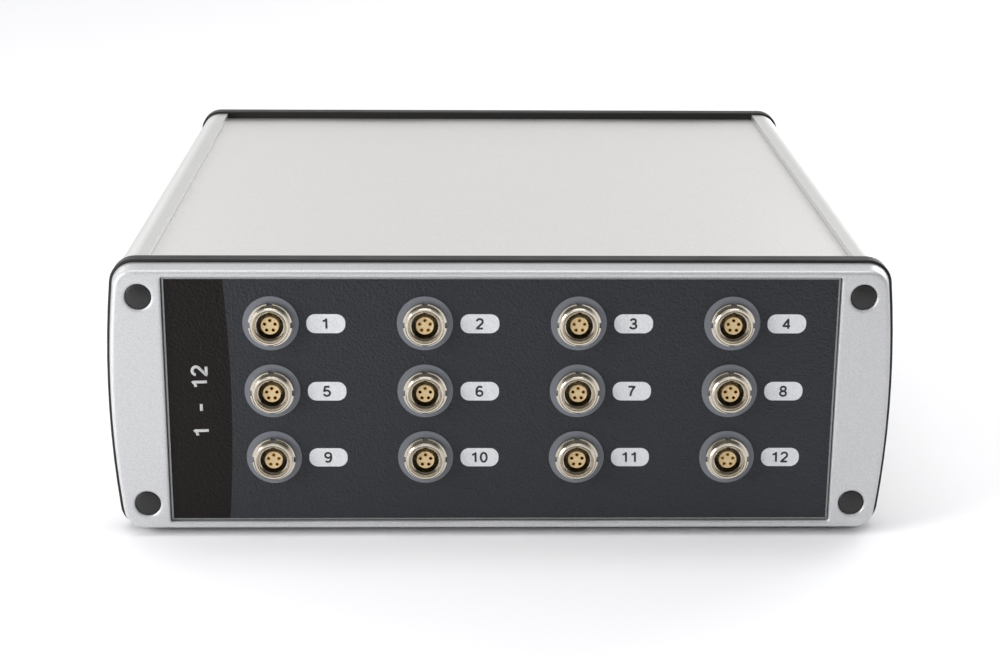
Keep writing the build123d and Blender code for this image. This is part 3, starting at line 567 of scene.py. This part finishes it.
rings_group.links.new(rings_in.outputs["Depth"], rings_bump.inputs["Distance"])
rings_group.links.new(rings_bump.outputs["Normal"], rings_out.inputs["Normal"])

nickel = finish_of(
    "satin_nickel", (0.55, 0.505, 0.43), (0.63, 0.58, 0.50),
    1.0, (0.14, 0.20), (1500.0, 0.000001), 250.0,
)
tree = nickel.node_tree
shader = tree.nodes["Principled BSDF"]
shader.inputs["Anisotropic"].default_value = 0.2
tool_marks = tree.nodes.new("ShaderNodeGroup")
tool_marks.node_tree = rings_group
tool_marks.inputs["Pitch"].default_value = 0.00003
tool_marks.inputs["Depth"].default_value = 0.0000007
tree.links.new(tool_marks.outputs["Normal"], shader.inputs["Normal"])
for number in range(1, 13):
    dress(nickel, f"receptacle_shell_{number:02d}")
plain_nickel = finish_of(
    "nickel_plate", (0.46, 0.44, 0.41), (0.60, 0.58, 0.54),
    1.0, (0.22, 0.34), (2200.0, 0.000004), 220.0,
)
dress(plain_nickel, "receptacle_nuts", "jackscrews", "earth_socket")

# Inserts and contacts
# Each shell holds an insert of beige engineering plastic with five round holes. A brass
# contact stands deep in each, and the rim of the hole shows a ring of gold.
insert_beige = finish_of(
    "insert_plastic", (0.56, 0.42, 0.22), (0.68, 0.53, 0.30),
    0.0, (0.34, 0.44), (3800.0, 0.000006), 400.0,
)
shader = insert_beige.node_tree.nodes["Principled BSDF"]
shader.inputs["Subsurface Weight"].default_value = 0.08
shader.inputs["Subsurface Radius"].default_value = (0.001, 0.0006, 0.0003)
for number in range(1, 13):
    dress(insert_beige, f"receptacle_insert_{number:02d}")
contact_brass = finish_of(
    "contact_brass", (0.10, 0.055, 0.02), (0.22, 0.13, 0.05),
    1.0, (0.35, 0.5), (5200.0, 0.000006), 500.0,
)
dress(contact_brass, "receptacle_contacts")
gold = finish_of(
    "gold_flash", (0.50, 0.25, 0.06), (0.72, 0.42, 0.13), 1.0, (0.22, 0.32), (4000.0, 0.000004), 300.0
)
insert_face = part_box("receptacle_insert_01")[0].y
contact_count, contact_circle = 5, 1.8 * MM
mouth_reach, mouth_bore, mouth_proud = 0.66 * MM, 0.46 * MM, 0.07 * MM
outer_slope, inner_slope = 0.04 * MM, 0.03 * MM
mouth_profile = [
    (mouth_reach, 0.0), (mouth_reach - outer_slope, mouth_proud),
    (mouth_bore + inner_slope, mouth_proud), (mouth_bore, 0.0),
]
bm = bmesh.new()
for spot in receptacles:
    for step in range(contact_count):
        turn = math.radians(90 + 360 / contact_count * step)
        across, upwards = contact_circle * math.cos(turn), contact_circle * math.sin(turn)
        middle = Matrix.Translation((spot.x + across, insert_face, spot.z + upwards))
        turned(bm, middle @ facing_front, mouth_profile, 20, True)
bmesh.ops.recalc_face_normals(bm, faces=bm.faces)
mouths = new_piece("contact_mouths", mesh_from("contact_mouths", bm), gold, "housing")

# Boards and screens
# Glass-fibre boards under green lacquer, tin-plated screening cans over the analogue
# stages, and black header blocks between them. All of it is inside the case.
board_green = finish_of(
    "board_lacquer", (0.010, 0.085, 0.030), (0.022, 0.15, 0.055),
    0.0, (0.22, 0.32), (900.0, 0.00001), 60.0, coat=0.3,
)
tin_plate = finish_of(
    "tin_plate", (0.55, 0.55, 0.53), (0.70, 0.70, 0.68),
    1.0, (0.24, 0.40), (1300.0, 0.000006), 90.0,
)
header_black = finish_of(
    "header_plastic", (0.012, 0.012, 0.013), (0.028, 0.028, 0.03),
    0.0, (0.4, 0.55), (3000.0, 0.00001), 150.0,
)
dress(
    board_green, "front_board", "channel_board_1", "channel_board_2", "channel_board_3",
    "backplane", "interface_board",
)
dress(tin_plate, "shield_cans_1", "shield_cans_2", "shield_cans_3")
dress(header_black, "board_headers")

# Rear panel
# A plate of natural anodised aluminium like the front one, without a foil, held by
# countersunk screws.
dress(panel_metal, "rear_panel")

# Power switch
# A snap-in switch of black glass-filled nylon with a glossier rocker. A bar and a ring,
# stamped in white, mark its on and off ends.
switch_nylon = finish_of(
    "switch_nylon", (0.012, 0.012, 0.013), (0.026, 0.026, 0.028),
    0.0, (0.36, 0.48), (2600.0, 0.00002), 140.0,
)
rocker_nylon = finish_of(
    "rocker_nylon", (0.010, 0.010, 0.011), (0.02, 0.02, 0.021),
    0.0, (0.2, 0.3), (2600.0, 0.000006), 140.0,
)
dress(switch_nylon, "power_switch_housing")
dress(rocker_nylon, "power_rocker")
switch_ink = printed_ink("switch_ink", (0.66, 0.66, 0.66), (0.80, 0.80, 0.80))
rear_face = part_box("rear_panel")[1].y
switch_low, switch_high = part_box("power_switch_housing")
pivot_depth, rest_tilt = 0.6 * MM, math.radians(8.0)
pivot = Vector(((switch_low.x + switch_high.x) / 2, rear_face - pivot_depth, mid_height))
mark_thickness, mark_sunk = 0.16 * MM, 0.04 * MM
bar_size, ring_reach, ring_bore = (0.5 * MM, 2.6 * MM), 1.45 * MM, 1.12 * MM
hollow_radius, hollow_middle, mark_up = 17.84 * MM, 2.3 * MM, 5.0 * MM
hollow_slope = math.asin(mark_up / hollow_radius)
mark_out = hollow_middle + hollow_radius * (1 - math.cos(hollow_slope))
tilt = Matrix.Rotation(rest_tilt, 4, "X")


def on_rocker(side):
    """The place of a mark on the rocker's hollow face, side 1 being its upper end."""
    slope = Matrix.Rotation(-side * hollow_slope, 4, "X")
    out = Matrix.Translation((0, mark_out - mark_sunk, side * mark_up))
    return Matrix.Translation(pivot) @ tilt @ out @ slope @ facing_back


bm = bmesh.new()
plate(bm, bar_size, 0, mark_thickness, on_rocker(1))
ring_profile = [
    (ring_reach, 0), (ring_reach, mark_thickness), (ring_bore, mark_thickness), (ring_bore, 0),
]
turned(bm, on_rocker(-1), ring_profile, 40, True)
bmesh.ops.recalc_face_normals(bm, faces=bm.faces)
switch_marks = new_piece("switch_marks", mesh_from("switch_marks", bm), switch_ink, "power_switch")

# Supply inlet
# A black threaded jack for the plug of the power supply. Its centre pin is a bright
# nickel-plated sleeve over a moulded core.
dress(switch_nylon, "dc_inlet")
inlet_low, inlet_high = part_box("dc_inlet")
inlet_middle = (inlet_low.x + inlet_high.x) / 2
pin_radius, pin_length, pin_rounding, pin_depth = 1.04 * MM, 9.4 * MM, 0.4 * MM, 4.15 * MM
bm = bmesh.new()
pin = bmesh.ops.create_cone(
    bm, cap_ends=True, segments=28, radius1=pin_radius, radius2=pin_radius, depth=pin_length
)["verts"]
tip_edges = [
    edge for edge in {e for v in pin for e in v.link_edges}
    if all(v.co.z > 0 for v in edge.verts)
]
bmesh.ops.bevel(
    bm, geom=tip_edges, offset=pin_rounding, segments=4, profile=0.5,
    affect="EDGES", material=-1,
)
pin_place = Matrix.Translation((inlet_middle, rear_face - pin_depth, mid_height))
bmesh.ops.transform(bm, matrix=pin_place @ facing_back, verts=bm.verts)
inlet_pin = new_piece("inlet_pin", mesh_from("inlet_pin", bm), plain_nickel, "housing")

# Ports
# Folded and tinned shells with black plastic cores: the network port, the serial bus port
# and the D-shaped auxiliary port. The cores are seen only inside their openings.


def cored_shell(name, metal, core_low, core_high):
    """Metal with a black plastic core inside the box between the two corners."""
    material = metal.copy()
    material.name = name
    tree = material.node_tree
    shader = tree.nodes["Principled BSDF"]
    place = tree.nodes.new("ShaderNodeTexCoord")
    split = tree.nodes.new("ShaderNodeSeparateXYZ")
    tree.links.new(place.outputs["Object"], split.inputs["Vector"])
    inside = 1.0
    for axis, low, high in zip("XYZ", core_low, core_high):
        over = calculated(tree, "GREATER_THAN", split.outputs[axis], low)
        under = calculated(tree, "LESS_THAN", split.outputs[axis], high)
        inside = calculated(tree, "MULTIPLY", inside, over)
        inside = calculated(tree, "MULTIPLY", inside, under)
    blend = tree.nodes.new("ShaderNodeMix")
    blend.data_type = "RGBA"
    blend.inputs["B"].default_value = (0.015, 0.015, 0.016, 1)
    tree.links.new(shader.inputs["Base Color"].links[0].from_socket, blend.inputs["A"])
    tree.links.new(inside, blend.inputs["Factor"])
    tree.links.new(blend.outputs["Result"], shader.inputs["Base Color"])
    bare = calculated(tree, "SUBTRACT", 1.0, inside)
    tree.links.new(bare, shader.inputs["Metallic"])
    return material


def core_of(node, margins, sunk):
    """The box inside a port's shell, from its margins and how far back it begins."""
    low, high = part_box(node)
    return (
        (low.x + margins[0], low.y, low.z + margins[1]),
        (high.x - margins[0], high.y - sunk, high.z - margins[2]),
    )


port_margins = (1.0 * MM, 1.0 * MM, 1.0 * MM)
lan_core = core_of("network_port", port_margins, 0.4 * MM)
usb_core = core_of("serial_bus_port", port_margins, 0.9 * MM)
dress(cored_shell("network_shell", tin_plate, *lan_core), "network_port")
dress(cored_shell("serial_shell", tin_plate, *usb_core), "serial_bus_port")
aux_low, aux_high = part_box("auxiliary_port")
aux_middle = Vector(((aux_low.x + aux_high.x) / 2, aux_high.y, (aux_low.z + aux_high.z) / 2))
core_reach, core_depth, core_past_face = (11.0 * MM, 3.5 * MM), 3.4 * MM, 0.1 * MM
aux_core = (
    (aux_middle.x - core_reach[0], aux_high.y - core_depth, aux_middle.z - core_reach[1]),
    (aux_middle.x + core_reach[0], aux_high.y + core_past_face, aux_middle.z + core_reach[1]),
)
dress(cored_shell("auxiliary_shell", plain_nickel, *aux_core), "auxiliary_port")

lan_low, lan_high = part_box("network_port")
lan_middle_x = (lan_low.x + lan_high.x) / 2
wire_count, wire_pitch, wire_size = 8, 1.02 * MM, (0.35 * MM, 8.5 * MM, 0.25 * MM)
wire_depth, wire_drop = 6.4 * MM, 3.45 * MM
lean = Matrix.Rotation(math.radians(-16.0), 4, "X")
bm = bmesh.new()
for step in range(wire_count):
    wire = bmesh.ops.create_cube(bm, size=1.0)["verts"]
    bmesh.ops.scale(bm, vec=wire_size, verts=wire)
    spot = Vector((
        lan_middle_x + (step - (wire_count - 1) / 2) * wire_pitch,
        lan_high.y - wire_depth,
        lan_high.z - wire_drop,
    ))
    bmesh.ops.transform(bm, matrix=Matrix.Translation(spot) @ lean, verts=wire)
port_wires = new_piece("network_wires", mesh_from("network_wires", bm), gold, "housing")

# Feet
# Four round feet of black rubber, moulded with a matte skin. They carry the instrument
# under its lower plate.
foot_rubber = finish_of(
    "foot_rubber", (0.012, 0.012, 0.012), (0.025, 0.025, 0.025),
    0.0, (0.65, 0.8), (2800.0, 0.00002), 120.0,
)
dress(foot_rubber, "rubber_feet")

# Stage
# A pale matte table under a bright sky and soft lights: a broad one overhead, a small one
# in front at the left, and two large ones behind, the stronger of them at the right.
bm = bmesh.new()
bmesh.ops.create_grid(bm, x_segments=1, y_segments=1, size=6.0)
floor_mesh = mesh_from("stage_floor", bm)
floor = bpy.data.objects.new("stage_floor", floor_mesh)
bpy.context.scene.collection.objects.link(floor)
floor_paint = bpy.data.materials.new("table_white")
floor_paint.use_nodes = True
floor_shader = floor_paint.node_tree.nodes["Principled BSDF"]
floor_shader.inputs["Base Color"].default_value = (0.92, 0.92, 0.935, 1)
floor_shader.inputs["Roughness"].default_value = 0.7
floor_mesh.materials.append(floor_paint)

world = bpy.data.worlds.new("studio")
world.use_nodes = True
sky_tree = world.node_tree
sky = sky_tree.nodes["Background"]
sky.inputs["Strength"].default_value = 0.98
sky_place = sky_tree.nodes.new("ShaderNodeTexCoord")
sky_split = sky_tree.nodes.new("ShaderNodeSeparateXYZ")
sky_tree.links.new(sky_place.outputs["Generated"], sky_split.inputs["Vector"])


def eased(axis, start, end, first=0.0, last=1.0):
    """A smooth step from first to last as the sky's direction goes from start to end."""
    step = sky_tree.nodes.new("ShaderNodeMapRange")
    step.interpolation_type = "SMOOTHSTEP"
    values = {"From Min": start, "From Max": end, "To Min": first, "To Max": last}
    for label, value in values.items():
        step.inputs[label].default_value = value
    sky_tree.links.new(sky_split.outputs[axis], step.inputs["Value"])
    return step.outputs["Result"]


# The sky is dark low down in front, and dimmer high up than near the horizon.
shade = calculated(sky_tree, "MULTIPLY", eased("Y", -0.15, -0.75), eased("Z", 0.75, 0.25))
brightness = calculated(sky_tree, "MULTIPLY_ADD", shade, -0.85, 1.0)
high_up = eased("Z", 0.38, 0.62, 1.0, 0.55)
brightness = calculated(sky_tree, "MULTIPLY", brightness, high_up)
sky_tree.links.new(brightness, sky.inputs["Color"])
bpy.context.scene.world = world
bpy.context.scene.view_settings.view_transform = "Standard"


def soft_light(name, place, aim, size, power):
    data = bpy.data.lights.new(name, "AREA")
    data.shape = "RECTANGLE"
    data.size, data.size_y = size
    data.energy = power
    lamp = bpy.data.objects.new(name, data)
    bpy.context.scene.collection.objects.link(lamp)
    lamp.location = place
    lamp.rotation_euler = (Vector(aim) - Vector(place)).to_track_quat("-Z", "Y").to_euler()


soft_light("overhead_light", (0.0, -0.1, 1.7), (0, -0.1, 0), (1.5, 1.1), 12.0)
soft_light("left_light", (-0.85, -0.58, 0.36), (0, -0.12, 0.05), (0.45, 0.55), 7.8)
soft_light("left_back_light", (-1.2, 1.9, 1.1), (-0.5, 0.6, 0.0), (1.2, 1.0), 4.0)
soft_light("right_back_light", (1.3, 1.5, 0.8), (0, 0.0, 0.05), (1.2, 1.2), 17.0)
